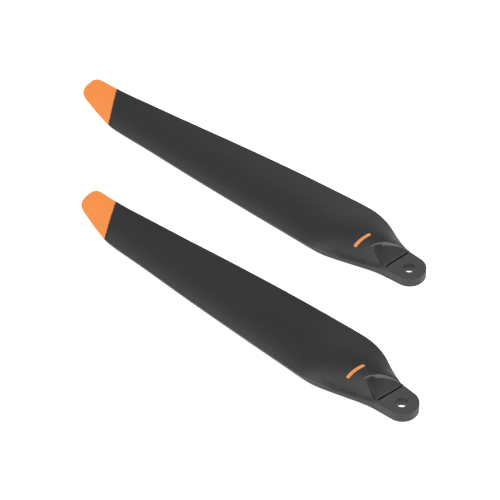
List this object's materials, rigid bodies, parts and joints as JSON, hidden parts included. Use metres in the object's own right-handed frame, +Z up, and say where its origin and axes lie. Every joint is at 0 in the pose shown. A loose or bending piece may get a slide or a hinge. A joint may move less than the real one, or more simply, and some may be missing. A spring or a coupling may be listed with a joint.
{
  "type": "propeller",
  "caption": "Folding drone propeller as loose matching blades: twisted blade, flat round root eye with pivot bore, arc rotation mark and square painted tip.",
  "frame": {"origin": "on the axis of the rear blade's pivot bore, in the plane that both blades lie on", "axes": "+X along the rear blade from its pivot to its tip, +Y from the rear blade towards the front blade, which is the leading edge's side, +Z up along the pivot bores"},
  "size_m": [0.0915, 0.0401, 0.003],
  "materials": {
    "blade_plastic": "fine-grained moulded fibre-filled nylon, matte",
    "tip_paint": "satin sprayed paint",
    "mark_ink": "matte printed ink"
  },
  "bodies": {
    "rear": {"rear_blade": "blade_plastic", "rear_painted_tip": "tip_paint", "rear_rotation_mark": "mark_ink"},
    "front": {"front_blade": "blade_plastic", "front_painted_tip": "tip_paint", "front_rotation_mark": "mark_ink"}
  },
  "joints": [
    {"name": "front_blade_lift", "type": "slide", "parent": "rear", "child": "front", "axis": [0, 0, 1], "range_m": [0, 0.04]}
  ]
}
